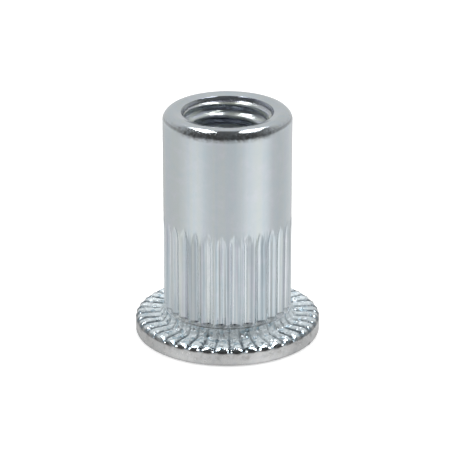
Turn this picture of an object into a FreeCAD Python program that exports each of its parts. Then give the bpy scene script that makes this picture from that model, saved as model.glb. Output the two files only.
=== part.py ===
# Blind rivet nut with a flat flange, a splined barrel and an inner thread, turned and cold-formed as one
# piece of steel. Lengths are in millimetres. The origin is the middle of the flange's outer face, on which
# the nut stands, and +Z runs up the axis to the threaded end. The helix of the fine thread isn't cut: its
# place is the bore that the crests of the thread leave open.
import FreeCAD, Part
import math
import os

import Sketcher
from FreeCAD import Placement, Rotation, Vector

NODE = "rivet_nut"
PARTS_FOLDER = "parts"

# Every size that can be set by itself, with its name in the document's table
SIZES = {
    # Thread, at the end away from the flange: the bore that its crests leave open, with a bevelled mouth
    # and a lip that falls a little towards it
    "thread_bore": 5.0,
    "thread_length": 6.8,
    "mouth_bevel": 0.77,
    "lip_width": 0.4,
    "lip_drop": 0.13,
    # Barrel, by its wall round the bore of the thread
    "barrel_wall": 2.0,
    "total_length": 16.4,
    "top_round": 0.72,
    # Flange, by how far it stands out from the barrel, with a rim that is upright below its rounding
    "flange_width": 2.0,
    "flange_thick": 1.25,
    "rim_round": 0.5,
    "rim_edge": 0.1,
    "root_fillet": 0.65,
    # Chamber with a thin wall, which folds when the nut is set
    "chamber_wall": 1.0,
    "chamber_cone": 0.6,
    "entry_edge": 0.15,
    # Straight grooves down the barrel, with narrow splines left between them
    "groove_count": 30,
    "groove_width": 0.78,
    "groove_depth": 0.22,
    "groove_rise": 0.1,
    "groove_length": 5.75,
    "groove_runout": 1.1,
    # Radial gaps in the flange, with teeth left between them
    "gap_count": 40,
    "gap_width": 0.58,
    "gap_depth": 0.2,
    "gap_start": 0.15,
    "gap_run": 0.3,
    "gap_lead": 0.05,
    "gap_fall": 0.06,
    # How far a cutting shape stands out of the metal
    "cut_margin": 0.15,
}

# Indices by which a sketch's constraints name its axes, its origin and the two ends of an edge
ACROSS_AXIS_INDEX = -1
UP_AXIS_INDEX = -2
ORIGIN_POINT = (-1, 1)
START_INDEX = 1
END_INDEX = 2

QUARTER = math.pi / 2
FULL_TURN = 360
SKETCH_NORMAL = Vector(0, 0, 1)

# Directions, in degrees, from the centre of a rounding to its corners where it is cut as flats
RIM_CORNERS = (0, 30, 60, 90)
ROOT_CORNERS = (270, 240, 210, 180)


class Measure:
    """A length worked out from the sizes, held as a number and as the document's expression for it."""

    def __init__(self, number, text):
        self.number = number
        self.text = text

    def __add__(self, other):
        return Measure(self.number + other.number, "(%s + %s)" % (self.text, other.text))

    def __sub__(self, other):
        return Measure(self.number - other.number, "(%s - %s)" % (self.text, other.text))

    def __mul__(self, other):
        return Measure(self.number * other.number, "(%s * %s)" % (self.text, other.text))

    def __truediv__(self, other):
        return Measure(self.number / other.number, "(%s / %s)" % (self.text, other.text))

    def root(self):
        return Measure(math.sqrt(self.number), "sqrt(%s)" % self.text)


def size(name):
    """A size from the table."""
    return Measure(SIZES[name], "Sizes." + name)


def share(number):
    """A plain number, to multiply a length by."""
    return Measure(number, "(%.9f)" % number)


def bore_radius():
    return Measure(SIZES["thread_bore"] / 2, "(Sizes.thread_bore / 2)")


def barrel_radius():
    return bore_radius() + size("barrel_wall")


def chamber_radius():
    return barrel_radius() - size("chamber_wall")


def flange_radius():
    return barrel_radius() + size("flange_width")


def add_table(doc):
    """The table of sizes: names in the first column, numbers with aliases in the second."""
    table = doc.addObject("Spreadsheet::Sheet", "Sizes")
    for row, (name, number) in enumerate(SIZES.items(), start=1):
        table.set("A%d" % row, name)
        table.set("B%d" % row, str(number))
        table.setAlias("B%d" % row, name)
    doc.recompute()


def origin_feature(body, role):
    """The body's own plane or axis with this role."""
    for feature in body.Origin.OriginFeatures:
        if feature.Role == role:
            return feature
    raise ValueError("the body has no " + role)


def add_sketch(body, name, role):
    """A sketch on one of the body's own planes."""
    sketch = body.newObject("Sketcher::SketchObject", name)
    sketch.AttachmentSupport = (origin_feature(body, role), [""])
    sketch.MapMode = "FlatFace"
    return sketch


def drive(sketch, kind, places, measure):
    """A dimension of the sketch, bound to the measure."""
    index = sketch.addConstraint(Sketcher.Constraint(kind, *places, measure.number))
    sketch.setExpression("Constraints[%d]" % index, measure.text)


def draw_outline(sketch, corners):
    """A closed outline, counterclockwise. Each corner has its place across and up, and a radius if a quarter
    of a circle leads to the next corner, upright at first and then level. Other edges are straight."""
    points = [Vector(across.number, up.number if up else 0, 0) for across, up, bend in corners]
    for index, (across, up, bend) in enumerate(corners):
        begin = points[index]
        finish = points[(index + 1) % len(points)]
        if bend is None:
            edge = Part.LineSegment(begin, finish)
        else:
            circle = Part.Circle(Vector(finish.x, begin.y, 0), SKETCH_NORMAL, bend.number)
            edge = Part.ArcOfCircle(circle, 0, QUARTER)
        sketch.addGeometry(edge, False)
    for index, (across, up, bend) in enumerate(corners):
        after = (index + 1) % len(corners)
        sketch.addConstraint(Sketcher.Constraint("Coincident", index, END_INDEX, after, START_INDEX))
        drive(sketch, "DistanceX", ORIGIN_POINT + (index, START_INDEX), across)
        if up is None:
            on_axis = Sketcher.Constraint("PointOnObject", index, START_INDEX, ACROSS_AXIS_INDEX)
            sketch.addConstraint(on_axis)
        else:
            drive(sketch, "DistanceY", ORIGIN_POINT + (index, START_INDEX), up)
        if bend is not None:
            drive(sketch, "Radius", (index,), bend)


def flats_round(centre_across, centre_up, bend, directions):
    """Corners of a rounding that is cut as flats, on a circle about its centre."""
    corners = []
    for degrees in directions:
        across = centre_across + bend * share(math.cos(math.radians(degrees)))
        up = centre_up + bend * share(math.sin(math.radians(degrees)))
        corners.append((across, up, None))
    return corners


def draw_wedge(sketch, pointing, tip, base, width):
    """A triangle that is even about an axis, with its tip and its base at distances along that axis."""
    half = width.number / 2
    corners = [(tip.number, 0), (base.number, -half), (base.number, half)]
    lengthwise, sideways = "DistanceX", "DistanceY"
    if pointing == UP_AXIS_INDEX:
        corners = [(side, way) for way, side in corners]
        lengthwise, sideways = sideways, lengthwise
    points = [Vector(across, up, 0) for across, up in corners]
    for index, begin in enumerate(points):
        sketch.addGeometry(Part.LineSegment(begin, points[(index + 1) % len(points)]), False)
    for index in range(len(points)):
        after = (index + 1) % len(points)
        sketch.addConstraint(Sketcher.Constraint("Coincident", index, END_INDEX, after, START_INDEX))
    sketch.addConstraint(Sketcher.Constraint("PointOnObject", 0, START_INDEX, pointing))
    sketch.addConstraint(Sketcher.Constraint("Symmetric", 1, START_INDEX, 1, END_INDEX, pointing))
    drive(sketch, lengthwise, ORIGIN_POINT + (0, START_INDEX), tip)
    drive(sketch, lengthwise, ORIGIN_POINT + (1, START_INDEX), base)
    drive(sketch, sideways, (1, START_INDEX, 1, END_INDEX), width)


def add_blank(body):
    """The plain turned shape: half of its section, swept once round the axis."""
    sketch = add_sketch(body, "HalfSection", "XZ_Plane")
    face = size("flange_thick")
    top = size("total_length")
    mouth = top - size("lip_drop")
    lip_radius = bore_radius() + size("mouth_bevel")
    thread_end = top - size("thread_length")
    rim = (flange_radius() - size("rim_round"), face - size("rim_round"), size("rim_round"))
    root = (barrel_radius() + size("root_fillet"), face + size("root_fillet"), size("root_fillet"))
    draw_outline(sketch, [
        (chamber_radius() + size("entry_edge"), None, None),
        (flange_radius() - size("rim_edge"), None, None),
        (flange_radius(), size("rim_edge"), None),
        *flats_round(*rim, RIM_CORNERS),
        *flats_round(*root, ROOT_CORNERS),
        (barrel_radius(), top - size("top_round"), size("top_round")),
        (barrel_radius() - size("top_round"), top, None),
        (lip_radius + size("lip_width"), top, None),
        (lip_radius, mouth, None),
        (bore_radius(), mouth - size("mouth_bevel"), None),
        (bore_radius(), thread_end, None),
        (chamber_radius(), thread_end - size("chamber_cone"), None),
        (chamber_radius(), size("entry_edge"), None),
    ])
    blank = body.newObject("PartDesign::Revolution", "Blank")
    blank.Profile = sketch
    blank.ReferenceAxis = (sketch, ["V_Axis"])
    blank.Angle = FULL_TURN
    return blank


def add_cut(body, name, role, pointing, base_gap, width, stations):
    """A cut with flat sides through a triangle at each station, which is given by its distance along the
    plane's normal and the place of its tip."""
    sketches = []
    for number, (distance, tip) in enumerate(stations, start=1):
        sketch = add_sketch(body, "%sSection%d" % (name, number), role)
        sketch.AttachmentOffset = Placement(Vector(0, 0, distance.number), Rotation())
        sketch.setExpression("AttachmentOffset.Base.z", distance.text)
        draw_wedge(sketch, pointing, tip, tip + base_gap, width)
        sketches.append(sketch)
    body.Document.recompute()
    cut = body.newObject("PartDesign::SubtractiveLoft", name)
    cut.Profile = sketches[0]
    cut.Sections = sketches[1:]
    cut.Ruled = True
    return cut


def repeat_round(body, feature, name, count):
    """Copies of a feature, evenly spaced round the axis."""
    pattern = body.newObject("PartDesign::PolarPattern", name)
    pattern.Originals = [feature]
    pattern.Axis = (origin_feature(body, "Z_Axis"), [""])
    pattern.Angle = FULL_TURN
    pattern.Occurrences = SIZES[count]
    pattern.setExpression("Occurrences", "Sizes." + count)
    body.Tip = pattern


def add_barrel_grooves(body):
    """Grooves from just above the root fillet up the barrel, each running out to a point at its upper end."""
    reach = size("groove_depth") + size("cut_margin")
    floor = barrel_radius() - size("groove_depth")
    foot = size("flange_thick") + size("root_fillet") + size("groove_rise")
    full = foot + size("groove_length")
    beyond = full + size("groove_runout") * reach / size("groove_depth")
    width = size("groove_width") * reach / size("groove_depth")
    stations = [(foot, floor), (full, floor), (beyond, floor + reach)]
    groove = add_cut(body, "BarrelGroove", "XY_Plane", ACROSS_AXIS_INDEX, reach, width, stations)
    repeat_round(body, groove, "BarrelGrooves", "groove_count")


def add_flange_gaps(body):
    """Gaps between the flange's teeth, from low on the root fillet out through the rounding of the rim."""
    reach = size("gap_depth") + size("cut_margin")
    fillet = size("root_fillet")
    across = fillet - size("gap_start")
    fillet_height = fillet - (fillet * fillet - across * across).root()
    start = barrel_radius() + size("gap_start")
    level = start + size("gap_run")
    beyond = flange_radius() + size("cut_margin")
    floor = size("flange_thick") - size("gap_depth")
    width = size("gap_width") * reach / size("gap_depth")
    stations = [
        (start, size("flange_thick") + fillet_height + size("gap_lead")),
        (level, floor),
        (beyond, floor - size("gap_fall")),
    ]
    gap = add_cut(body, "FlangeGap", "YZ_Plane", UP_AXIS_INDEX, reach, width, stations)
    repeat_round(body, gap, "FlangeGaps", "gap_count")


def require_less(doc, body, before, name):
    """Stops if a cut took nothing away, and gives the volume that is left."""
    doc.recompute()
    left = body.Shape.Volume
    if not left < before:
        raise RuntimeError(name + " cut nothing")
    return left


def require_sound(doc, body):
    """Stops if a feature failed or the finished shape isn't one sound solid."""
    for item in doc.Objects:
        if "Invalid" in item.State or "Error" in item.State:
            raise RuntimeError(item.Name + " failed")
    shape = body.Shape
    if shape.isNull() or not shape.isValid() or len(shape.Solids) != 1:
        raise RuntimeError(body.Label + " isn't one sound solid")


def main():
    doc = FreeCAD.newDocument("RivetNut")
    add_table(doc)
    body = doc.addObject("PartDesign::Body", "RivetNutBody")
    body.Label = NODE
    body.Placement = Placement(Vector(0, 0, 0), Rotation())
    add_blank(body)
    doc.recompute()
    blank_volume = body.Shape.Volume
    add_barrel_grooves(body)
    grooved_volume = require_less(doc, body, blank_volume, "BarrelGrooves")
    add_flange_gaps(body)
    volume = require_less(doc, body, grooved_volume, "FlangeGaps")
    require_sound(doc, body)
    os.makedirs(PARTS_FOLDER, exist_ok=True)
    body.Shape.exportStep(os.path.join(PARTS_FOLDER, body.Label + ".step"))
    volumes = (blank_volume, grooved_volume, volume)
    print("cubic millimetres: blank %.2f, grooved %.2f, finished %.2f" % volumes)


main()
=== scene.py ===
"""Rivet nut: the toothed and splined steel nut, its zinc finish, and a small pale studio."""

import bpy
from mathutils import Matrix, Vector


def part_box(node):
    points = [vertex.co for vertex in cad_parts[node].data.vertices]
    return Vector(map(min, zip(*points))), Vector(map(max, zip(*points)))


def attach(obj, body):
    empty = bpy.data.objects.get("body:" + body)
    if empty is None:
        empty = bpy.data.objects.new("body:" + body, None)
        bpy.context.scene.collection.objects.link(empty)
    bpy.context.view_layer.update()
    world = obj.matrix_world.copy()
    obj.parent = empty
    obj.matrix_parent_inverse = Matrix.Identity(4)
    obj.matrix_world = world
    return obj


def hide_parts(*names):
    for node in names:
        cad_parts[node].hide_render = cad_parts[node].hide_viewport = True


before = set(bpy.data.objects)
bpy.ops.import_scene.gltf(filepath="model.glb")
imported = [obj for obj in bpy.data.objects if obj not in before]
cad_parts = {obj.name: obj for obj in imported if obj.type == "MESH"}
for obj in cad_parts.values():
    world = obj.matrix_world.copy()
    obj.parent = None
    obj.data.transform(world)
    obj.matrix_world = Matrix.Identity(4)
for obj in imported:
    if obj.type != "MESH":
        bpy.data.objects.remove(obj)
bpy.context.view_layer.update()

import math

import bpy
import numpy as np
from bpy.props import FloatProperty, FloatVectorProperty, IntProperty, PointerProperty
from bpy.types import Operator, Panel, PropertyGroup

bl_info = {
    "name": "Rivet Nut",
    "version": (1, 0, 0),
    "blender": (4, 5, 0),
    "location": "3D View > Sidebar > Rivet Nut",
    "description": "Builds a rivet nut with splines, flange teeth and an inner thread, and a studio for it",
    "category": "Object",
}

NODE = "rivet_nut"
MM = 0.001
NODE_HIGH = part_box(NODE)[1]

# Columns of the grid round the axis: the outside has twice as many as the bore
OUTER_COLUMNS = 720
INNER_COLUMNS = 360

# Seed of the small differences between one groove or tooth and the next
SEED = 12

# Grooves of the barrel: powers of the curve to the tip and of the sides of the V
TIP_POWER = 1.8
SIDE_POWER = 1.35
# Rounding of the V's corners, and what it leaves on the plain barrel
GROOVE_ROUNDING, ROUNDING_LEFT = 0.012 * MM, 0.0002 * MM
# Share by which the depth waves up a groove, and how far the wave turns in a millimetre, in radians
WAVE_SHARE, WAVE_RATE = 0.04, 1.7
# Share of the full depth that is taken off below the foot
FOOT_LOSS = 1.05
# Depth of the drawing marks
DRAWN_DEPTH = 0.012 * MM
# Where the foot begins and ends and where its rows lie, from its stated height
FOOT_LOW, FOOT_HIGH = -0.07 * MM, 0.18 * MM
FOOT_ROWS = np.array([0.5, 0.21, 0.16, 0.11, 0.06, 0.02, -0.03, -0.07]) * MM

# Teeth of the flange: how blunt they are inside and at their domed outer ends, where the dome begins and
# ends, and the height of the ridges left by the forming die, as a share of a tooth's
BLUNT_INSIDE, BLUNT_OUTSIDE = 4.5, 1.5
DOME_START, DOME_END = 5.8 * MM, 6.3 * MM
DIE_RIDGES = 0.035

# Points along the straight runs and the bends of the flange's half sections
STRAIGHT_STEPS = (3, 3, 6, 3, 2, 3, 3)
BEND_STEPS = (6, 4, 4, 4, 4, 2)
CREST_BENDS = np.array([0.16, 0.05, 0.12, 0.15, 0.03, 0.05]) * MM
GAP_BENDS = np.array([0.14, 0.04, 0.10, 0.04, 0.02, 0.05]) * MM

# Thread: the shares of the pitch that a crest and both flanks take, and the height of a crest at the back
CREST_SHARE, FLANK_SHARE = 0.14, 0.58
THREAD_HEIGHT = 16.02 * MM

# Section of the mouth's bevel: heights from the foot of its rounding, and steps in from the mouth's radius
BEVEL_HEIGHT = 0.27 * MM
BEVEL_UP = np.array([-0.72, -0.50, -0.36, -0.14, 0.0, 0.12, 0.27]) * MM
BEVEL_IN = np.array([0.77, 0.57, 0.48, 0.45, 0.21, 0.16, 0.08]) * MM
BEVEL_ROWS = np.array([0.0, 0.02, 0.10, 0.18, 0.25, 0.27]) * MM

# The zones of the finish lie further than this from the axis
OUTSIDE_FROM = 3.75 * MM


def length(name, description, millimetres):
    """A size that the user can set, in metres."""
    return FloatProperty(name=name, description=description, default=millimetres * MM, min=0.0,
                         precision=5, subtype="DISTANCE", unit="LENGTH")


def colour(name, description, default):
    """A colour that the user can set."""
    return FloatVectorProperty(name=name, description=description, default=default, size=3,
                               min=0.0, max=1.0, subtype="COLOR")


class NutSizes(PropertyGroup):
    total_height: FloatProperty(name="Height", description="From the flange's face to the threaded end",
                                default=NODE_HIGH[2], precision=5, subtype="DISTANCE", unit="LENGTH")
    flange_radius: FloatProperty(name="Flange radius", description="Outside of the rim",
                                 default=NODE_HIGH[0], precision=5, subtype="DISTANCE", unit="LENGTH")
    barrel_radius: length("Barrel radius", "Crests of the splines and the plain upper half", 4.5)
    top_round: length("Top rounding", "Radius of the rounded edge at the threaded end", 0.72)
    flange_height: length("Flange height", "Crests of the flange's teeth above its face", 1.25)
    root_fillet: length("Root fillet", "Radius between the barrel and the flange", 0.65)
    chamber_radius: length("Chamber radius", "Bore of the thin-walled half behind the flange", 3.5)
    chamber_end: length("Chamber end", "Height at which the chamber starts to narrow", 9.0)
    thread_start: length("Thread start", "Height at which the thread begins", 9.6)
    crest_radius: length("Thread crest radius", "Inner radius of the thread", 2.5)
    thread_root: length("Thread root radius", "Outer radius of the thread", 3.0)
    thread_pitch: length("Thread pitch", "Rise of the thread in one turn", 1.0)
    mouth_bevel: length("Mouth bevel", "Bevel at the mouth of the thread", 0.77)
    lip_width: length("Lip width", "Width of the lip that falls towards the mouth", 0.4)
    lip_drop: length("Lip drop", "How far the lip falls", 0.13)


class SplineSizes(PropertyGroup):
    count: IntProperty(name="Grooves", description="Grooves round the barrel", default=30, min=3)
    turn: FloatProperty(name="Turn", description="Turn of the grooves round the axis",
                        default=math.radians(0.4), subtype="ANGLE", unit="ROTATION")
    width: length("Groove width", "Width of a groove at the barrel's surface", 0.80)
    depth: length("Groove depth", "Depth of a groove", 0.2)
    foot: length("Groove foot", "Height of the lower ends", 1.98)
    full: length("Full depth to", "Height to which the grooves keep their depth", 7.6)
    tip: length("Groove tip", "Height of the pointed upper ends", 8.9)


class ToothSizes(PropertyGroup):
    count: IntProperty(name="Teeth", description="Teeth round the flange", default=40, min=3)
    turn: FloatProperty(name="Turn", description="Turn of the gaps round the axis",
                        default=math.radians(1.25), subtype="ANGLE", unit="ROTATION")
    depth: length("Gap depth", "Depth of the gaps under the crests of the teeth", 0.2)


class FinishColours(PropertyGroup):
    zinc: colour("Zinc", "Plain zinc plating", (0.675, 0.73, 0.76))
    blue: colour("Blue tint", "Bluest places of the clear coat", (0.58, 0.70, 0.77))
    green: colour("Green tint", "Greenest places of the clear coat", (0.69, 0.74, 0.67))
    violet: colour("Violet tint", "Most violet places of the clear coat", (0.68, 0.69, 0.77))
    olive: colour("Olive tint", "Olive rings of the clear coat in the thread", (0.66, 0.71, 0.55))
    plum: colour("Plum tint", "Plum rings of the clear coat in the thread", (0.58, 0.62, 0.74))
    light_crystal: colour("Light crystals", "Lightest crystals on the flange's teeth", (0.88, 0.96, 1.0))
    dark_crystal: colour("Dark crystals", "Darkest crystals on the flange's teeth", (0.50, 0.64, 0.72))
    bloom: colour("Bloom", "Pale violet patches of the clear coat", (0.76, 0.77, 0.86))
    # Painted highlight lines up the splines
    painted_highlight_line: colour("Bright marks", "Fine bright lines up the splines", (0.88, 0.93, 0.95))
    line: colour("Drawing marks", "Fine dark lines up the splines", (0.33, 0.38, 0.42))
    # Grime, also used as painted shade at the teeth's outer ends and in front on the rounded edge
    grime_and_shade: colour("Grime", "Dark marks on the rounded edge and the rim", (0.13, 0.12, 0.11))
    rim: colour("Rim", "Duller plating of the flange's rim", (0.83, 0.83, 0.825))
    # Painted shade in the gaps between the flange's teeth
    gap: colour("Gaps", "Dull plating in the gaps between the flange's teeth", (0.17, 0.21, 0.24))
    # Painted shade in the thread's roots, deep in the bore and at the grooves' feet
    shade: colour("Shade", "Dark film in the thread's roots and the grooves' feet", (0.20, 0.22, 0.30))


class StudioSizes(PropertyGroup):
    camera_distance: length("Camera distance", "From the middle of the nut", 175.0)
    camera_rise: FloatProperty(name="Camera rise", description="Angle of the camera above the floor",
                               default=math.radians(22.3), subtype="ANGLE", unit="ROTATION")
    focal_length: FloatProperty(name="Focal length", description="For a sensor 36 mm wide",
                                default=197.93, unit="CAMERA")
    frame_shift: FloatProperty(name="Frame shift", default=-0.01626,
                               description="How far the picture sits below the nut's middle")
    box_light: FloatProperty(name="Overhead light", description="Power of each softbox", default=1.2,
                             min=0.0, unit="POWER")
    fill_light: FloatProperty(name="Fill light", description="Power of the light in front", default=0.22,
                              min=0.0, unit="POWER")


def wrapped(angle, pitch):
    """Distance of an angle from the nearest multiple of the pitch, with its sign."""
    return (angle + pitch / 2) % pitch - pitch / 2


def soft_step(value, low, high):
    """0 below the low end, 1 above the high end, and 3t^2 - 2t^3 between them."""
    share = np.clip((value - low) / (high - low), 0.0, 1.0)
    return share * share * (3.0 - 2.0 * share)


def ring_noise(generator, count, slowest, fastest):
    """Even noise round a ring, with a spread of 1, made of whole waves between two counts per turn."""
    waves = np.fft.rfft(generator.normal(size=count))
    order = np.arange(len(waves))
    waves[(order < slowest) | (order > fastest)] = 0
    noise = np.fft.irfft(waves, count)
    return noise / noise.std()


def soft_above(value, softness):
    """The positive part of a value, with the corner at zero rounded as a hyperbola."""
    return (value + np.sqrt(value * value + softness * softness)) / 2


def bent_path(corners, bends, straight_steps, bend_steps):
    """Points along a path of straight runs. Each inner corner is a parabola that starts and ends at the
    bend's distance from the corner."""
    corners = np.asarray(corners, float)
    pieces = []
    begin = corners[0]
    for index in range(1, len(corners)):
        toward = corners[index] - corners[index - 1]
        toward = toward / np.linalg.norm(toward)
        last = index == len(corners) - 1
        finish = corners[index] if last else corners[index] - toward * bends[index - 1]
        share = np.linspace(0.0, 1.0, straight_steps[index - 1], endpoint=last)[:, None]
        pieces.append(begin + (finish - begin) * share)
        if last:
            break
        onward = corners[index + 1] - corners[index]
        onward = onward / np.linalg.norm(onward)
        begin = corners[index] + onward * bends[index - 1]
        share = np.linspace(0.0, 1.0, bend_steps[index - 1], endpoint=False)[:, None]
        near, far = finish * (1 - share) ** 2, begin * share ** 2
        pieces.append(near + 2 * corners[index] * share * (1 - share) + far)
    return np.concatenate(pieces)


def spline_depth(splines, barrel_radius, angle, height, chance):
    """Depth of the grooves at an angle and a height: a rounded V of constant slope, sunk by an amount that
    is full along the groove, fades over its foot and rises along a curve to a pointed tip."""
    pitch = math.tau / splines.count
    number = np.round((angle - splines.turn) / pitch).astype(int) % splines.count
    tip = splines.tip + chance["tip"][number]
    half = splines.width / 2 * (1 + chance["width"][number])
    across = np.abs(wrapped(angle - splines.turn, pitch)) * barrel_radius
    rise = np.clip((height - splines.full) / (tip - splines.full), 0.0, 1.5)
    foot = soft_step(height, splines.foot + FOOT_LOW, splines.foot + FOOT_HIGH)
    wave = 1 + WAVE_SHARE * np.sin(height / MM * WAVE_RATE + 5 * chance["phase"][number])
    sunk = splines.depth * ((1.0 - rise ** TIP_POWER) * wave - (1 - foot) * FOOT_LOSS)
    groove = soft_above(sunk - splines.depth * (across / half) ** SIDE_POWER, GROOVE_ROUNDING)
    drawn = chance["drawn"] * np.clip(sunk / splines.depth, 0.0, 1.0)
    return groove - ROUNDING_LEFT + DRAWN_DEPTH * (drawn + 1.0)


def tooth_height(teeth, angle, bluntness, chance):
    """How far a tooth stands up at an angle, from 0 in the gap to 1 on the crest: 1 - |t|^n, which is flat
    with a narrow gap where the bluntness n is large, and faint ridges left by the forming die."""
    pitch = math.tau / teeth.count
    place = angle - teeth.turn - pitch / 2
    number = np.round(place / pitch).astype(int) % teeth.count
    across = np.abs(wrapped(place, pitch)) / (pitch / 2)
    across = np.clip(across * (1 + chance["tooth"][number]), 0.0, 1.0)
    return 1.0 - across ** bluntness + DIE_RIDGES * chance["die"]


def all_round(values, columns):
    """Repeats each row's one value in every column."""
    return np.repeat(values[:, None], columns, 1)


def head_rows(nut):
    """Distances from the axis and heights of the rows over the flat end face and its rounded edge, which
    is a quarter circle."""
    inner = nut.barrel_radius - nut.top_round
    lip = nut.crest_radius + nut.mouth_bevel + nut.lip_width
    face = np.linspace(lip, inner, 2, endpoint=False)
    turn = np.linspace(math.pi / 2, 0.0, 11, endpoint=False)
    shoulder = nut.total_height - nut.top_round
    across = np.concatenate([face, inner + nut.top_round * np.cos(turn)])
    up = np.concatenate([np.full(len(face), nut.total_height), shoulder + nut.top_round * np.sin(turn)])
    return all_round(across, OUTER_COLUMNS), all_round(up, OUTER_COLUMNS)


def barrel_rows(nut, splines, angle, chance):
    """Rows down the barrel, close together over the tips and the feet of the grooves. The distance from
    the axis is the barrel's radius less the depth of the grooves."""
    shoulder = nut.total_height - nut.top_round
    up = np.concatenate([
        [shoulder, shoulder - 0.16 * MM, 12.0 * MM],
        np.linspace(splines.tip + 0.12 * MM, splines.full, 18, endpoint=False),
        np.linspace(splines.full, splines.foot + FOOT_ROWS[0], 3, endpoint=False),
        splines.foot + FOOT_ROWS,
    ])
    depth = spline_depth(splines, nut.barrel_radius, angle[None, :], up[:, None], chance)
    return nut.barrel_radius - depth, all_round(up, OUTER_COLUMNS)


def flange_rows(nut, teeth, angle, chance):
    """Rows over the root fillet, the teeth and the rim. Each point lies between the half section through a
    gap and the half section over a crest, by the height of the teeth at that angle."""
    barrel, rim = nut.barrel_radius, nut.flange_radius
    base = nut.flange_height
    floor = base - teeth.depth
    start = (barrel, base + nut.root_fillet)
    crest = bent_path([
        start, (barrel + 0.02 * MM, base + 0.36 * MM), (barrel + 0.28 * MM, base), (DOME_START, base),
        (6.25 * MM, base - 0.06 * MM), (rim - 0.02 * MM, base - 0.32 * MM), (rim, base - 0.40 * MM),
        (rim, 0.1 * MM),
    ], CREST_BENDS, STRAIGHT_STEPS, BEND_STEPS)
    gap = bent_path([
        start, (barrel + 0.02 * MM, base + 0.24 * MM), (barrel + 0.36 * MM, floor),
        (5.95 * MM, floor + 0.02 * MM), (6.34 * MM, floor - 0.01 * MM), (rim, base - 0.23 * MM),
        (rim, base - 0.40 * MM), (rim, 0.1 * MM),
    ], GAP_BENDS, STRAIGHT_STEPS, BEND_STEPS)
    outward = soft_step(crest[:, :1], DOME_START, DOME_END)
    bluntness = BLUNT_INSIDE - (BLUNT_INSIDE - BLUNT_OUTSIDE) * outward
    stands = tooth_height(teeth, angle[None, :], bluntness, chance)
    across = gap[:, :1] + (crest[:, :1] - gap[:, :1]) * stands
    up = gap[:, 1:] + (crest[:, 1:] - gap[:, 1:]) * stands
    return across, up, stands


def under_rows(nut):
    """Rows round the rim's lower edge and in over the flat outer face."""
    rim = nut.flange_radius
    across = np.concatenate([[rim - 0.03 * MM], np.linspace(rim - 0.1 * MM, 3.92 * MM, 4)])
    up = np.array([0.03 * MM, 0.0, 0.0, 0.0, 0.0])
    return all_round(across, OUTER_COLUMNS), all_round(up, OUTER_COLUMNS)


def outer_surface(nut, splines, teeth, chance):
    """The outside, as rows from the mouth out and down to the underside, and columns round the axis, with
    the height of the teeth for each point, which is 1 where there are none."""
    angle = np.arange(OUTER_COLUMNS) * math.tau / OUTER_COLUMNS
    head_across, head_up = head_rows(nut)
    barrel_across, barrel_up = barrel_rows(nut, splines, angle, chance)
    flange_across, flange_up, stands = flange_rows(nut, teeth, angle, chance)
    under_across, under_up = under_rows(nut)
    across = np.concatenate([head_across, barrel_across, flange_across, under_across])
    up = np.concatenate([head_up, barrel_up, flange_up, under_up])
    plain = [np.ones_like(rows) for rows in (head_up, barrel_up, under_up)]
    stands = np.concatenate([plain[0], plain[1], stands, plain[2]])
    return angle, across, up, stands


def thread_share(turns):
    """Depth share of the thread, from 0 on a crest to 1 in a root, over one pitch: a flat crest, straight
    flanks and a flat root."""
    place = np.abs(turns - np.round(turns)) * 2
    return np.clip((place - CREST_SHARE) / FLANK_SHARE, 0.0, 1.0)


def thread_rows(nut, angle, bevel_low):
    """Rows up the thread, closer together towards the mouth. The radius is the larger of the bevel's at
    that height and the thread's own, which climbs by the pitch in one turn and fades out at the cone."""
    visible, near_mouth = 14.2 * MM, 15.5 * MM
    up = np.concatenate([
        np.linspace(nut.thread_start, visible, 30, endpoint=False),
        np.linspace(visible, near_mouth, 22, endpoint=False),
        np.linspace(near_mouth, bevel_low, 12, endpoint=False),
        bevel_low + BEVEL_ROWS,
    ])[:, None]
    turns = (up - THREAD_HEIGHT) / nut.thread_pitch - (angle[None, :] - math.pi / 2) / math.tau
    fade = soft_step(up, nut.thread_start, nut.thread_start + 0.5 * MM)
    thread = nut.crest_radius + (nut.thread_root - nut.crest_radius) * thread_share(turns) * fade
    bevel = np.interp(up, bevel_low + BEVEL_UP, nut.crest_radius + nut.mouth_bevel - BEVEL_IN)
    return np.maximum(bevel, thread), np.repeat(up, INNER_COLUMNS, 1)


def inner_surface(nut):
    """The inside, as rows from the underside up the chamber, the cone and the thread to the mouth and out
    over its lip."""
    angle = np.arange(INNER_COLUMNS) * math.tau / INNER_COLUMNS
    chamber = nut.chamber_radius
    low = np.array([
        (3.80 * MM, 0.0), (3.66 * MM, 0.0), (chamber, 0.15 * MM), (chamber, 3.0 * MM),
        (chamber, nut.chamber_end),
        ((chamber + nut.crest_radius) / 2, (nut.chamber_end + nut.thread_start) / 2),
    ])
    mouth = np.array([nut.crest_radius + nut.mouth_bevel, nut.total_height - nut.lip_drop])
    lip = mouth + np.array([(-0.065, 0.004), (0.36, 0.117)]) * MM
    thread_across, thread_up = thread_rows(nut, angle, mouth[1] - BEVEL_HEIGHT)
    across = [all_round(low[:, 0], INNER_COLUMNS), thread_across, all_round(lip[:, 0], INNER_COLUMNS)]
    up = [all_round(low[:, 1], INNER_COLUMNS), thread_up, all_round(lip[:, 1], INNER_COLUMNS)]
    return angle, np.concatenate(across), np.concatenate(up)


def strip_faces(first, rows, columns):
    """Four-sided faces of a grid that closes round the axis, facing out of the metal."""
    here = first + np.arange(rows - 1)[:, None] * columns + np.arange(columns)[None, :]
    beside = first + np.arange(rows - 1)[:, None] * columns + (np.arange(columns)[None, :] + 1) % columns
    return np.stack([here, here + columns, beside + columns, beside], -1).reshape(-1, 4)


def joining_faces(coarse, fine, columns, fine_first):
    """Five-sided faces between a ring and a ring with twice as many points."""
    step = np.arange(columns)
    after = (step + 1) % columns
    near, far = coarse + step, coarse + after
    start, half, finish = fine + 2 * step, fine + 2 * step + 1, fine + 2 * after
    order = [start, near, far, finish, half] if fine_first else [near, start, half, finish, far]
    return np.stack(order, -1)


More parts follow.
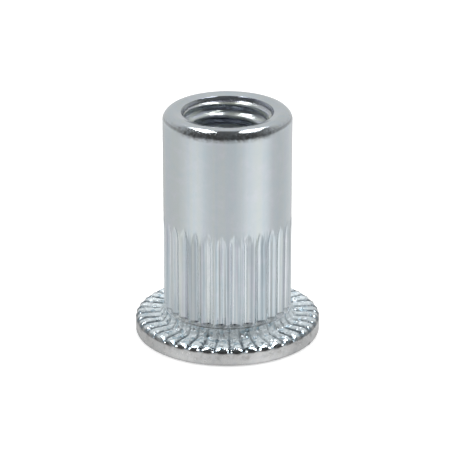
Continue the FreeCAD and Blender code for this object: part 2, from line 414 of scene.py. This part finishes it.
def nut_mesh(nut, splines, teeth):
    """One closed mesh: the outside, the inside and the two rings that join them."""
    generator = np.random.default_rng(SEED)
    chance = {
        "tip": generator.normal(0.0, 0.05 * MM, splines.count),
        "width": generator.normal(0.0, 0.03, splines.count),
        "phase": generator.uniform(0.0, 6.0, splines.count),
        "tooth": generator.normal(0.0, 0.06, teeth.count),
        "drawn": ring_noise(generator, OUTER_COLUMNS, 80, 170),
        "die": ring_noise(generator, OUTER_COLUMNS, 100, 240),
    }
    outer_angle, outer_across, outer_up, stands = outer_surface(nut, splines, teeth, chance)
    inner_angle, inner_across, inner_up = inner_surface(nut)

    def points(angle, across, up):
        """X is the distance times the angle's cosine, Y is it times the sine, and Z is the height."""
        return np.stack([across * np.cos(angle), across * np.sin(angle), up], -1).reshape(-1, 3)

    places = np.concatenate([
        points(outer_angle, outer_across, outer_up),
        points(inner_angle, inner_across, inner_up),
    ])
    outer_rows, inner_rows = len(outer_across), len(inner_across)
    inner_first = outer_rows * OUTER_COLUMNS
    quads = np.concatenate([
        strip_faces(0, outer_rows, OUTER_COLUMNS),
        strip_faces(inner_first, inner_rows, INNER_COLUMNS),
    ])
    last_outer = (outer_rows - 1) * OUTER_COLUMNS
    last_inner = inner_first + (inner_rows - 1) * INNER_COLUMNS
    fives = np.concatenate([
        joining_faces(inner_first, last_outer, INNER_COLUMNS, True),
        joining_faces(last_inner, 0, INNER_COLUMNS, False),
    ])
    mesh = bpy.data.meshes.new("rivet_nut_body")
    mesh.vertices.add(len(places))
    mesh.vertices.foreach_set("co", places.ravel())
    mesh.loops.add(quads.size + fives.size)
    mesh.loops.foreach_set("vertex_index", np.concatenate([quads.ravel(), fives.ravel()]).astype(np.int32))
    mesh.polygons.add(len(quads) + len(fives))
    starts = np.concatenate([np.arange(len(quads)) * 4, quads.size + np.arange(len(fives)) * 5])
    mesh.polygons.foreach_set("loop_start", starts.astype(np.int32))
    mesh.polygons.foreach_set("use_smooth", np.ones(len(quads) + len(fives), bool))
    mesh.update(calc_edges=True)
    mesh.validate()
    stands = np.concatenate([stands.ravel(), np.ones(inner_across.size)])
    add_zones(mesh, nut, splines, places, stands)
    return mesh


def add_zones(mesh, nut, splines, places, stands):
    """Point colours that say where the finish changes: red on the splines, green on the flange's teeth,
    blue on the rounded edge at the threaded end, and alpha for the height of the teeth."""
    across = np.hypot(places[:, 0], places[:, 1])
    up = places[:, 2]
    outside = across > OUTSIDE_FROM
    on_splines = outside * soft_step(up, 1.9 * MM, 2.1 * MM)
    on_splines = on_splines * (1 - soft_step(up, splines.full, splines.tip))
    on_teeth = outside * (1 - soft_step(up, 1.75 * MM, 1.95 * MM)) * soft_step(up, 0.85 * MM, 1.0 * MM)
    top = nut.total_height
    shoulder = top - nut.top_round
    on_edge = outside * soft_step(up, shoulder - 0.15 * MM, shoulder + 0.08 * MM)
    on_edge = on_edge * (1 - soft_step(up, top - 0.26 * MM, top - 0.14 * MM))
    zones = mesh.attributes.new("zones", "FLOAT_COLOR", "POINT")
    values = np.stack([on_splines, on_teeth, on_edge, np.clip(stands, 0.0, 1.0)], -1)
    zones.data.foreach_set("color", values.astype(np.float32).ravel())


class Shader:
    """Adds and links the nodes of one material or world, so that each step reads as one line."""

    def __init__(self, tree):
        self.tree = tree
        tree.nodes.clear()

    def node(self, kind, links=(), **settings):
        """A new node with its settings, each of its sockets linked or set to a plain value."""
        made = self.tree.nodes.new(kind)
        for name, value in settings.items():
            setattr(made, name, value)
        for place, value in dict(links).items():
            if isinstance(value, bpy.types.NodeSocket):
                self.tree.links.new(value, made.inputs[place])
            else:
                made.inputs[place].default_value = value
        return made

    def math(self, operation, first, second=0.5, third=0.5):
        """One sum of up to three values."""
        return self.node("ShaderNodeMath", {0: first, 1: second, 2: third}, operation=operation).outputs[0]

    def times(self, first, second):
        """The product of two values."""
        return self.math("MULTIPLY", first, second)

    def remap(self, value, low, high, to_low=0.0, to_high=1.0, kind="LINEAR"):
        """The value's place between low and high, carried over to to_low and to_high and held there."""
        made = self.node("ShaderNodeMapRange", {0: value, 1: low, 2: high, 3: to_low, 4: to_high},
                         interpolation_type=kind)
        return made.outputs[0]

    def band(self, value, low, full_from, full_to, high, peak=1.0):
        """0 outside low and high, and the peak between full_from and full_to."""
        return self.times(self.remap(value, low, full_from), self.remap(value, high, full_to, 0.0, peak))

    def mix(self, share, first, second):
        """The first colour times 1 less the share, plus the second times the share."""
        made = self.node("ShaderNodeMix", {0: share, 6: first, 7: second}, data_type="RGBA")
        return made.outputs[2]

    def layers(self, tint, coats):
        """A tint under coats of (share, colour), each laid over the ones before."""
        for share, over in coats:
            tint = self.mix(share, tint, over)
        return tint

    def ramp(self, value, stops):
        """Grey levels by position, from stops of (degrees from the front, level)."""
        made = self.node("ShaderNodeValToRGB", {0: value})
        points = made.color_ramp.elements
        while len(points) < len(stops):
            points.new(0.5)
        for point, (degrees, level) in zip(points, stops):
            point.position = 0.5 + degrees / 360
            point.color = (level, level, level, 1.0)
        return made.outputs[0]

    def noise(self, vector, scale, detail=3.0, roughness=0.5):
        """Cloudy noise of about 0.5, with a number of finer layers, each weaker by the roughness."""
        made = self.node("ShaderNodeTexNoise",
                         {"Vector": vector, "Scale": scale, "Detail": detail, "Roughness": roughness})
        return made.outputs["Fac"]


def opaque(tint):
    """A colour as a node's socket takes it, with an alpha of 1."""
    return (*tint, 1.0)


# Middle of the nick in the rim, in millimetres
NICK_PLACE = (5.73, -3.06, 0.06)


class ZincPlating(Shader):
    """Nodes of the bright zinc plating. Places and distances in it are in millimetres."""

    def __init__(self, tree, finish):
        super().__init__(tree)
        self.finish = finish
        self.place = self.node("ShaderNodeTexCoord").outputs["Object"]
        self.grown = self.scaled(1000.0, 1000.0)
        self.drawn = self.scaled(1000.0, 70.0)
        self.long = self.scaled(1000.0, 9.0)
        zones = self.node("ShaderNodeAttribute", attribute_name="zones")
        self.stands = zones.outputs["Alpha"]
        parts = self.node("ShaderNodeSeparateColor", {0: zones.outputs["Color"]})
        self.on_splines, self.on_teeth, self.on_edge = parts.outputs
        x, y, self.up = self.node("ShaderNodeSeparateXYZ", {0: self.grown}).outputs
        self.radius = self.math("SQRT", self.math("ADD", self.times(x, x), self.times(y, y)))
        self.aside = self.math("ABSOLUTE", self.math("DIVIDE", x, self.radius))
        self.front = self.remap(self.math("DIVIDE", y, self.radius), -0.55, -0.88, 0.25, 1.0)
        self.in_thread = self.remap(self.radius, 3.24, 3.20)
        self.on_rim = self.times(self.remap(self.radius, 6.40, 6.46), self.remap(self.up, 1.0, 0.9))
        self.hazy = self.times(self.on_teeth, self.remap(self.radius, 6.08, 6.16, 1.0, 0.0))
        self.drift = self.noise(self.drawn, 2.6, 2.0, 0.6)
        self.fleck = self.noise(self.grown, 3.2, 5.0, 0.7)
        self.turned = self.noise(self.scaled(500.0, 7000.0), 1.0, 2.0)
        self.crystal = self.node("ShaderNodeTexVoronoi", {"Vector": self.grown, "Scale": 3.8})
        facets = self.node("ShaderNodeSeparateColor", {0: self.crystal.outputs["Color"]})
        self.facet_tint, self.facet_gloss = facets.outputs[0], facets.outputs[1]

    def scaled(self, across, along):
        """The place on the nut, stretched by one factor across the axis and one along it."""
        mapping = self.node("ShaderNodeMapping", {"Vector": self.place, "Scale": (across, across, along)})
        return mapping.outputs[0]

    def clear_coat(self):
        """Coats whose tint drifts up the barrel between blue, green and violet, more on the splines, and
        patches of bloom and of blue."""
        finish = self.finish
        streak = self.noise(self.long, 3.4, 2.0)
        patch = self.noise(self.scaled(1000.0, 1600.0), 0.9, 5.0, 0.65)
        amount = self.math("MULTIPLY_ADD", self.on_splines, 0.45, 0.35)
        return (
            (self.times(self.remap(streak, 0.45, 0.7), amount), opaque(finish.blue)),
            (self.times(self.remap(streak, 0.5, 0.3), amount), opaque(finish.green)),
            (self.times(self.remap(self.drift, 0.52, 0.68), amount), opaque(finish.violet)),
            (self.remap(patch, 0.52, 0.75, 0.0, 0.6), opaque(finish.bloom)),
            (self.remap(patch, 0.48, 0.25, 0.0, 0.45), opaque(finish.blue)),
        )

    def crystals_and_marks(self):
        """Crystals of the plating on the flange's teeth, drawing marks up the splines, and painted
        highlight lines up them.
        """
        finish = self.finish
        spangle = self.mix(self.remap(self.facet_tint, 0.08, 0.26), opaque(finish.dark_crystal),
                           opaque(finish.light_crystal))
        marks = self.noise(self.long, 6.0, 1.0)
        return (
            (self.on_teeth, spangle),
            (self.times(self.remap(marks, 0.50, 0.70, 0.0, 0.5), self.on_splines), opaque(finish.line)),
            # Painted highlight lines up the splines
            (self.times(self.remap(marks, 0.50, 0.32, 0.0, 0.7), self.on_splines),
             opaque(finish.painted_highlight_line)),
        )

    def thread_hues_and_shade(self, in_root):
        """Olive and plum rings in the thread, and painted shade in its roots and, front and back, deep in
        the bore."""
        finish = self.finish
        hues = self.mix(self.remap(self.turned, 0.40, 0.60), opaque(finish.olive), opaque(finish.plum))
        deep = self.times(self.remap(self.up, 15.6, 15.1, 0.0, 0.3), self.in_thread)
        deep = self.times(deep, self.remap(self.aside, 0.35, 0.65, 1.0, 0.0))
        return (
            (self.times(self.in_thread, 0.55), hues),
            (self.times(in_root, 0.75), opaque(finish.shade)),
            (deep, opaque(finish.shade)),
        )

    def gap_shade_share(self):
        """Share of the painted shade between the teeth, which is wider at the sides of the flange."""
        wider = self.remap(self.aside, 0.55, 0.95, 0.08, -0.14)
        share = self.times(self.remap(self.math("ADD", self.stands, wider), 0.85, 0.35), self.on_teeth)
        return self.times(share, self.remap(self.radius, 4.7, 5.1, 0.4, 0.92))

    def edge_marks_and_shade(self):
        """Flecks of grime on the rounded edge, with painted shade that makes them heaviest in front. At the
        sides they thin out to a worn line.
        """
        grime_and_shade = self.times(self.times(self.remap(self.fleck, 0.40, 0.64), self.on_edge), self.front)
        beside = self.remap(self.front, 1.0, 0.4)
        clean = self.times(beside, self.remap(self.up, 15.90, 15.80, 0.0, 0.8))
        grime_and_shade = self.times(grime_and_shade, self.math("SUBTRACT", 1.0, clean))
        worn = self.band(self.up, 15.84, 15.92, 16.03, 16.10, 0.45)
        return self.math("MAXIMUM", grime_and_shade, self.times(worn, beside))

    def rim_smear(self):
        """Smears of grime on the rim, fainter towards the floor."""
        smear = self.remap(self.noise(self.grown, 1.5, 4.0, 0.6), 0.50, 0.70, 0.0, 0.7)
        return self.times(self.times(smear, self.on_rim), self.remap(self.up, 0.3, 0.9, 0.3, 1.0))

    def tooth_end_shade(self):
        """Painted shade: the dark half-moons at the outer ends of the teeth."""
        share = self.times(self.remap(self.radius, 6.32, 6.38), self.remap(self.up, 0.84, 0.90))
        return self.times(self.times(share, self.remap(self.stands, 0.40, 0.60)), 0.6)

    def nick(self):
        """A small nick low on the rim, to the right."""
        away = self.node("ShaderNodeVectorMath", {0: self.grown, 1: NICK_PLACE}, operation="DISTANCE")
        return self.remap(away.outputs["Value"], 0.17, 0.11)

    def relief(self):
        """Height of the fine relief: turning rings, drawing marks and grain, and each zone's own pattern
        about its middle level."""
        rings = self.node("ShaderNodeCombineXYZ", {0: self.times(self.radius, 14.0), 2: self.up})
        rings = self.noise(rings.outputs[0], 1.0, 2.0)
        upright = self.noise(self.drawn, 14.0, 2.0)
        grain = self.noise(self.grown, 9.0, 4.0, 0.65)
        rough = self.noise(self.grown, 3.6, 4.0, 0.7)
        height = self.times(upright, 0.0016)
        height = self.math("MULTIPLY_ADD", rings, 0.0012, height)
        height = self.math("MULTIPLY_ADD", grain, 0.0042, height)
        for pattern, zone, depth in (
            (rough, self.hazy, 0.07),
            (self.crystal.outputs["Distance"], self.hazy, 0.09),
            (upright, self.on_splines, 0.011),
            (self.drift, self.on_splines, 0.02),
            (self.fleck, self.on_edge, 0.035),
            (self.fleck, self.on_rim, 0.02),
            (self.turned, self.in_thread, 0.085),
        ):
            above = self.times(self.math("SUBTRACT", pattern, 0.5), zone)
            height = self.math("MULTIPLY_ADD", above, depth, height)
        return height

    def build(self):
        """Join the colour, the gloss, the share of bare metal and the relief in one shader."""
        finish = self.finish
        # Painted shade in the thread's roots: thin at the sides, and the same all round close to the mouth
        root_shade_share = self.remap(self.up, 15.97, 16.0, self.remap(self.aside, 0.40, 0.75, 1.0, 0.1), 0.75)
        in_root = self.times(self.times(self.remap(self.radius, 2.84, 2.98), root_shade_share), self.in_thread)
        # Narrow ledge over the root fillet, and painted shade at the feet of the grooves in it, fainter at
        # the sides
        on_ledge = self.band(self.up, 1.90, 1.96, 2.14, 2.20)
        foot = self.times(on_ledge, self.times(self.remap(self.radius, 4.36, 4.31),
                                               self.remap(self.aside, 0.40, 0.70, 0.95, 0.25)))
        # Grime flecks and painted shade on the rounded edge, heaviest in front, and smears of grime on the
        # rim
        grime_and_shade = self.edge_marks_and_shade()
        dirt_and_shade = self.times(self.math("MAXIMUM", grime_and_shade, self.rim_smear()), 0.85)
        tint = self.layers(opaque(finish.zinc), (
            *self.clear_coat(),
            *self.crystals_and_marks(),
            (self.times(self.on_rim, self.remap(self.fleck, 0.3, 0.6, 0.5, 1.0)), opaque(finish.rim)),
            *self.thread_hues_and_shade(in_root),
            (self.gap_shade_share(), opaque(finish.gap)),
            (self.tooth_end_shade(), opaque(finish.grime_and_shade)),
            # Painted shade at the feet of the grooves
            (foot, opaque(finish.shade)),
            (self.math("MAXIMUM", dirt_and_shade, self.nick()), opaque(finish.grime_and_shade)),
        ))

        # Roughness, which is more in the edge's grime and painted shade, on the crystals, on the rim and in
        # the thread
        gloss = self.remap(self.noise(self.grown, 2.5, 4.0), 0.3, 0.7, 0.07, 0.12)
        for zone, amount in ((grime_and_shade, 0.2), (self.hazy, 0.10), (self.on_rim, 0.16), (self.in_thread, 0.08)):
            gloss = self.math("MULTIPLY_ADD", zone, amount, gloss)

        # Share of bare metal, which is less on most crystals, on the ledge and between the thread's roots
        dull = self.times(self.hazy, self.remap(self.facet_gloss, 0.65, 0.90, 0.97, 0.3))
        ledge = self.times(on_ledge, self.remap(self.radius, 4.50, 4.48))
        ledge = self.times(self.math("SUBTRACT", ledge, foot), 0.85)
        metallic = self.math("SUBTRACT", 1.0, self.math("MAXIMUM", dull, ledge))
        metallic = self.math("MULTIPLY_ADD", self.math("SUBTRACT", self.in_thread, in_root), -0.6, metallic)

        bump = self.node("ShaderNodeBump", {"Height": self.relief(), "Distance": MM, "Strength": 1.0})
        metal = self.node("ShaderNodeBsdfPrincipled", {
            "Base Color": tint, "Metallic": metallic, "Roughness": gloss, "Normal": bump.outputs[0],
        })
        self.node("ShaderNodeOutputMaterial", {0: metal.outputs[0]})


def zinc_material(finish):
    """Bright zinc plating with a clear coat, crystals on the flange's teeth, drawing marks and painted
    highlight lines up the splines, turning marks round the end face, a scuffed and grimy rounded edge with
    painted shade heaviest in front, and painted shade in the gaps, at the teeth's ends, at the grooves'
    feet and in the thread."""
    material = bpy.data.materials.new("zinc_plating")
    material.use_nodes = True
    ZincPlating(material.node_tree, finish).build()
    return material


def floor_material():
    """Plain pale board with a gloss. Straight views see it lifted to white, and it still holds the shadow.
    In the metal it shows partly as the lit board and partly as the mirror image of the room."""
    material = bpy.data.materials.new("pale_board")
    material.use_nodes = True
    shade = Shader(material.node_tree)
    path = shade.node("ShaderNodeLightPath")
    plain = shade.node("ShaderNodeBsdfDiffuse", {"Color": (0.86, 0.86, 0.86, 1.0)})
    mirrored = path.outputs["Is Glossy Ray"]
    seen = shade.math("ADD", path.outputs["Is Camera Ray"], path.outputs["Is Transmission Ray"])
    strength = shade.math("MULTIPLY_ADD", mirrored, 0.08, shade.times(seen, 0.42))
    glow = shade.node("ShaderNodeEmission", {"Color": (1.0, 1.0, 1.0, 1.0), "Strength": strength})
    board = shade.node("ShaderNodeAddShader", {0: plain.outputs[0], 1: glow.outputs[0]})
    clear = shade.node("ShaderNodeBsdfTransparent")
    share = shade.times(mirrored, 0.6)
    both = shade.node("ShaderNodeMixShader", {0: share, 1: board.outputs[0], 2: clear.outputs[0]})
    shade.node("ShaderNodeOutputMaterial", {0: both.outputs[0]})
    return material


# Light in the room by the angle round from the front, minus to the left: the level of the board's mirror
# image under the horizon, and of the room above it
BOARD_IMAGE = (
    (-180, 0.26), (-144, 0.34), (-120, 0.36), (-98, 0.40), (-82, 0.56), (-62, 0.81), (-48, 0.74),
    (-34, 0.52), (-18, 0.44), (10, 0.44), (24, 0.58), (38, 0.84), (58, 0.96), (72, 0.82), (88, 0.44),
    (108, 0.36), (124, 0.42), (144, 0.50), (180, 0.46),
)
ROOM_SIDES = (
    (-180, 0.64), (-120, 0.60), (-96, 0.42), (-68, 0.10), (68, 0.10), (96, 0.42), (120, 0.60),
    (180, 0.64),
)

# Floor, lights and camera, in metres, with the camera's sensor in millimetres
FLOOR_HALF = 0.6
BOX_PLACE, BOX_SIZE = (0.178, 0.095, 0.5), (0.13, 0.25)
FILL_PLACE, FILL_SIZE = (0.0, -0.25, 0.45), (0.3, 0.3)
SENSOR_WIDTH = 36.0


def studio_world():
    """Room round the nut: white where it is seen straight on. In the metal it is dark in front and overhead
    and grey behind, and under the horizon it is the board's mirror image of pale panels left and right."""
    world = bpy.data.worlds.new("studio_room")
    world.use_nodes = True
    shade = Shader(world.node_tree)
    path = shade.node("ShaderNodeLightPath")
    way = shade.node("ShaderNodeTexCoord").outputs["Generated"]
    right, back, rise = shade.node("ShaderNodeSeparateXYZ", {0: way}).outputs
    turn = shade.math("ARCTAN2", right, shade.times(back, -1.0))
    turn = shade.math("MULTIPLY_ADD", turn, 1 / math.tau, 0.5)
    overhead = shade.remap(back, 0.1, 0.6, 0.1, 0.70, "SMOOTHSTEP")
    high = shade.remap(rise, 0.55, 0.85, 0.0, 1.0, "SMOOTHSTEP")
    above = shade.mix(high, shade.ramp(turn, ROOM_SIDES), overhead)
    light = shade.mix(shade.remap(rise, -0.28, -0.34), above, shade.ramp(turn, BOARD_IMAGE))
    seen = shade.node("ShaderNodeBackground", {0: (1.0, 1.0, 1.0, 1.0), 1: 1.0})
    room = shade.node("ShaderNodeBackground", {0: light, 1: 1.0})
    share = shade.math("MAXIMUM", path.outputs["Is Camera Ray"], path.outputs["Is Transmission Ray"])
    both = shade.node("ShaderNodeMixShader", {0: share, 1: room.outputs[0], 2: seen.outputs[0]})
    shade.node("ShaderNodeOutputWorld", {0: both.outputs[0]})
    return world


class RIVETNUT_OT_body(Operator):
    """Build the nut as one closed mesh with its zinc finish"""
    bl_idname = "rivet_nut.body"
    bl_label = "Build Nut"

    def execute(self, context):
        scene = context.scene
        mesh = nut_mesh(scene.nut_sizes, scene.nut_splines, scene.nut_teeth)
        body = bpy.data.objects.new("rivet_nut_body", mesh)
        scene.collection.objects.link(body)
        mesh.materials.append(zinc_material(scene.nut_finish))
        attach(body, "root")
        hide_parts(NODE)
        return {"FINISHED"}


class RIVETNUT_OT_stage(Operator):
    """Lay the floor, hang the softboxes, light the room and set the camera"""
    bl_idname = "rivet_nut.stage"
    bl_label = "Build Studio"

    def execute(self, context):
        scene = context.scene
        studio = scene.nut_studio
        self.add_floor(scene)
        self.add_lights(scene, studio)
        scene.world = studio_world()
        self.add_camera(scene, studio)
        scene.view_settings.view_transform = "Standard"
        return {"FINISHED"}

    def add_floor(self, scene):
        """One square face with its middle under the nut."""
        mesh = bpy.data.meshes.new("studio_floor")
        corners = [(-1, -1), (1, -1), (1, 1), (-1, 1)]
        mesh.from_pydata([(x * FLOOR_HALF, y * FLOOR_HALF, 0) for x, y in corners], [], [(0, 1, 2, 3)])
        mesh.materials.append(floor_material())
        floor = bpy.data.objects.new("studio_floor", mesh)
        scene.collection.objects.link(floor)

    def add_light(self, scene, name, place, turn, size, power):
        """Rectangular light at a place, turned from straight down by two angles, about X and Y."""
        lamp = bpy.data.lights.new(name, "AREA")
        lamp.shape = "RECTANGLE"
        lamp.size, lamp.size_y = size
        lamp.energy = power
        light = bpy.data.objects.new(name, lamp)
        light.location = place
        light.rotation_euler = (*turn, 0.0)
        scene.collection.objects.link(light)
        return light

    def add_lights(self, scene, studio):
        """Softboxes above, left and right, and a weak light in front for the dull surfaces, which the
        metal doesn't mirror."""
        beside, back, high = BOX_PLACE
        for side in (-1, 1):
            turn = (0.0, side * math.atan2(beside, high))
            self.add_light(scene, "softbox", (side * beside, back, high), turn, BOX_SIZE, studio.box_light)
        turn = (math.atan2(-FILL_PLACE[1], FILL_PLACE[2]), 0.0)
        fill = self.add_light(scene, "fill", FILL_PLACE, turn, FILL_SIZE, studio.fill_light)
        fill.visible_glossy = False

    def add_camera(self, scene, studio):
        """Camera in front, raised by its angle and aimed at the middle of the nut."""
        rise = studio.camera_rise
        middle = scene.nut_sizes.total_height / 2
        lens = bpy.data.cameras.new("camera")
        lens.lens = studio.focal_length
        lens.sensor_width = SENSOR_WIDTH
        lens.shift_y = studio.frame_shift
        lens.clip_start = 0.01
        camera = bpy.data.objects.new("camera", lens)
        away = studio.camera_distance
        camera.location = (0.0, -math.cos(rise) * away, middle + math.sin(rise) * away)
        camera.rotation_euler = (math.pi / 2 - rise, 0.0, 0.0)
        scene.collection.objects.link(camera)
        scene.camera = camera


class RIVETNUT_PT_panel(Panel):
    bl_label = "Rivet Nut"
    bl_idname = "RIVETNUT_PT_panel"
    bl_space_type = "VIEW_3D"
    bl_region_type = "UI"
    bl_category = "Rivet Nut"

    def draw(self, context):
        layout = self.layout
        for title, group in GROUPS.items():
            box = layout.box()
            box.label(text=group.__name__)
            settings = getattr(context.scene, title)
            for name in group.__annotations__:
                box.prop(settings, name)
        for step in STEPS:
            layout.operator(step.bl_idname)


GROUPS = {
    "nut_sizes": NutSizes,
    "nut_splines": SplineSizes,
    "nut_teeth": ToothSizes,
    "nut_finish": FinishColours,
    "nut_studio": StudioSizes,
}
STEPS = (RIVETNUT_OT_body, RIVETNUT_OT_stage)


def register():
    """Register the settings, hang them on the scene, and register the operators and the panel."""
    for group in GROUPS.values():
        bpy.utils.register_class(group)
    for title, group in GROUPS.items():
        setattr(bpy.types.Scene, title, PointerProperty(type=group))
    for step in STEPS:
        bpy.utils.register_class(step)
    bpy.utils.register_class(RIVETNUT_PT_panel)


def unregister():
    """Undo what register does, in the opposite order."""
    bpy.utils.unregister_class(RIVETNUT_PT_panel)
    for step in reversed(STEPS):
        bpy.utils.unregister_class(step)
    for title in GROUPS:
        delattr(bpy.types.Scene, title)
    for group in reversed(GROUPS.values()):
        bpy.utils.unregister_class(group)


def main():
    register()
    bpy.ops.rivet_nut.body()
    bpy.ops.rivet_nut.stage()
    bpy.context.scene.camera = bpy.data.objects["camera"]
    bpy.context.view_layer.update()


if __name__ == "__main__":
    main()
